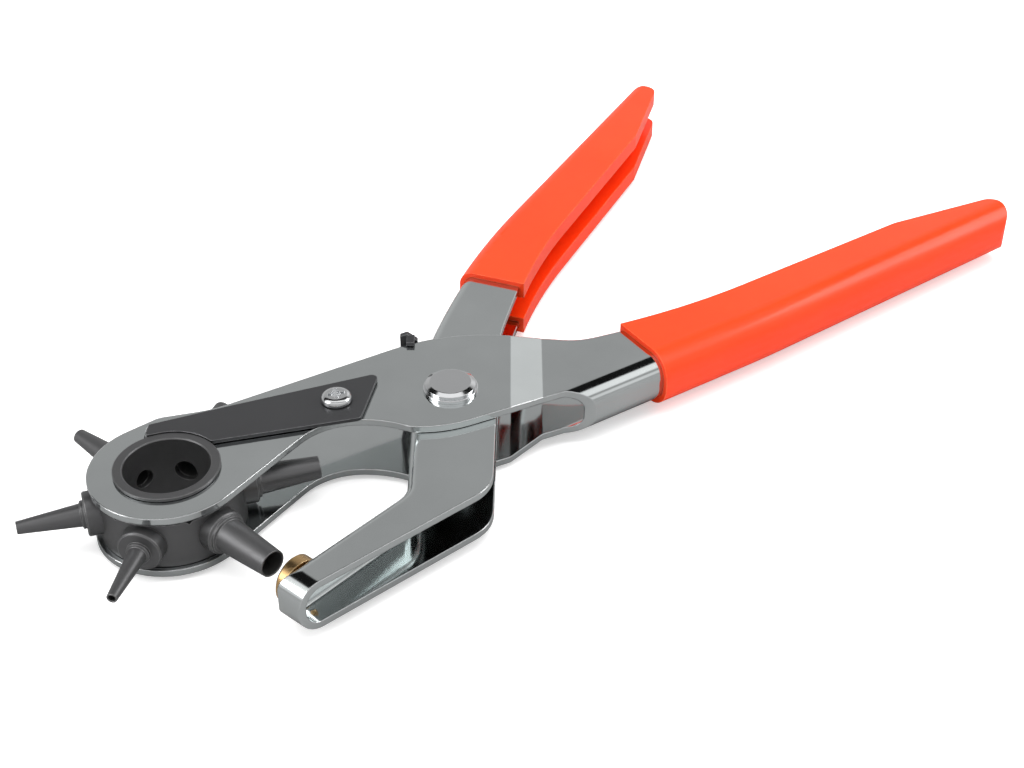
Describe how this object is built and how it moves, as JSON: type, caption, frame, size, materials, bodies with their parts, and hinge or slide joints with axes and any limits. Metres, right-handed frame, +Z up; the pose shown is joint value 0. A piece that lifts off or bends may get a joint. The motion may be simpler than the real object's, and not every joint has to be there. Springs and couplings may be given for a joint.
{
  "type": "rotary hole punch",
  "caption": "Revolving plier punch: sprung channel-steel handles with dipped grips, a turret of graded punch tubes, brass anvil and index spring.",
  "frame": {"origin": "on the handle pivot's axis, on the surface that the tool lies on", "axes": "+Z up, along the pivot and turret axes; +X towards the outer frame's handle side, away from the turret; +Y towards the inner frame's handle"},
  "size_m": [0.2209, 0.2099, 0.0184],
  "materials": {
    "plated_steel": "polished nickel-chrome plate on pressed steel",
    "bright_steel": "plated, turned",
    "dark_spring": "blued spring steel",
    "gunmetal": "dark oxide, satin",
    "brass": "turned, satin",
    "orange_grip": "dipped soft plastic, satin"
  },
  "bodies": {
    "outer_arm": {"outer_frame": "plated_steel", "outer_grip": "orange_grip", "pivot_rivet": "bright_steel", "pivot_washer_top": "bright_steel", "pivot_washer_bottom": "bright_steel", "index_spring_screw": "bright_steel"},
    "inner_arm": {"inner_frame": "plated_steel", "inner_grip": "orange_grip", "anvil_pad": "brass", "pivot_spacer": "bright_steel"},
    "turret": {"turret_drum": "gunmetal", "hub_sleeve": "gunmetal", "hub_ring": "gunmetal", "punch_tube_1": "gunmetal", "punch_tube_2": "gunmetal", "punch_tube_3": "gunmetal", "punch_tube_4": "gunmetal", "punch_tube_5": "gunmetal", "punch_tube_6": "gunmetal"},
    "index_leaf": {"index_spring": "dark_spring"},
    "opening_leaf": {"opening_spring": "dark_spring"}
  },
  "joints": [
    {"name": "handle_pivot", "type": "hinge", "parent": "outer_arm", "child": "inner_arm", "pos_m": [0, 0, 0.00845], "axis": [0, 0, 1], "range_deg": [-5.1, 0], "stiffness_Nm_per_rad": 6, "springref_deg": 2.86},
    {"name": "turret_spin", "type": "hinge", "parent": "outer_arm", "child": "turret", "pos_m": [-0.055, -0.027, 0.00845], "axis": [0, 0, 1], "continuous": true},
    {"name": "index_spring_lift", "type": "hinge", "parent": "outer_arm", "child": "index_leaf", "pos_m": [-0.0234, -0.0057, 0.0158], "axis": [-0.3419, 0.9397, 0], "range_deg": [0, 1.2], "stiffness_Nm_per_rad": 1, "springref_deg": -1.15},
    {"name": "opening_spring_flex", "type": "hinge", "parent": "outer_arm", "child": "opening_leaf", "pos_m": [-0.0105, 0.0167, 0.0115], "axis": [0, 0, 1], "range_deg": [-1.5, 0]}
  ],
  "couplings": [
    {"joint": "opening_spring_flex", "follows": "handle_pivot", "ratio": 0.27}
  ]
}
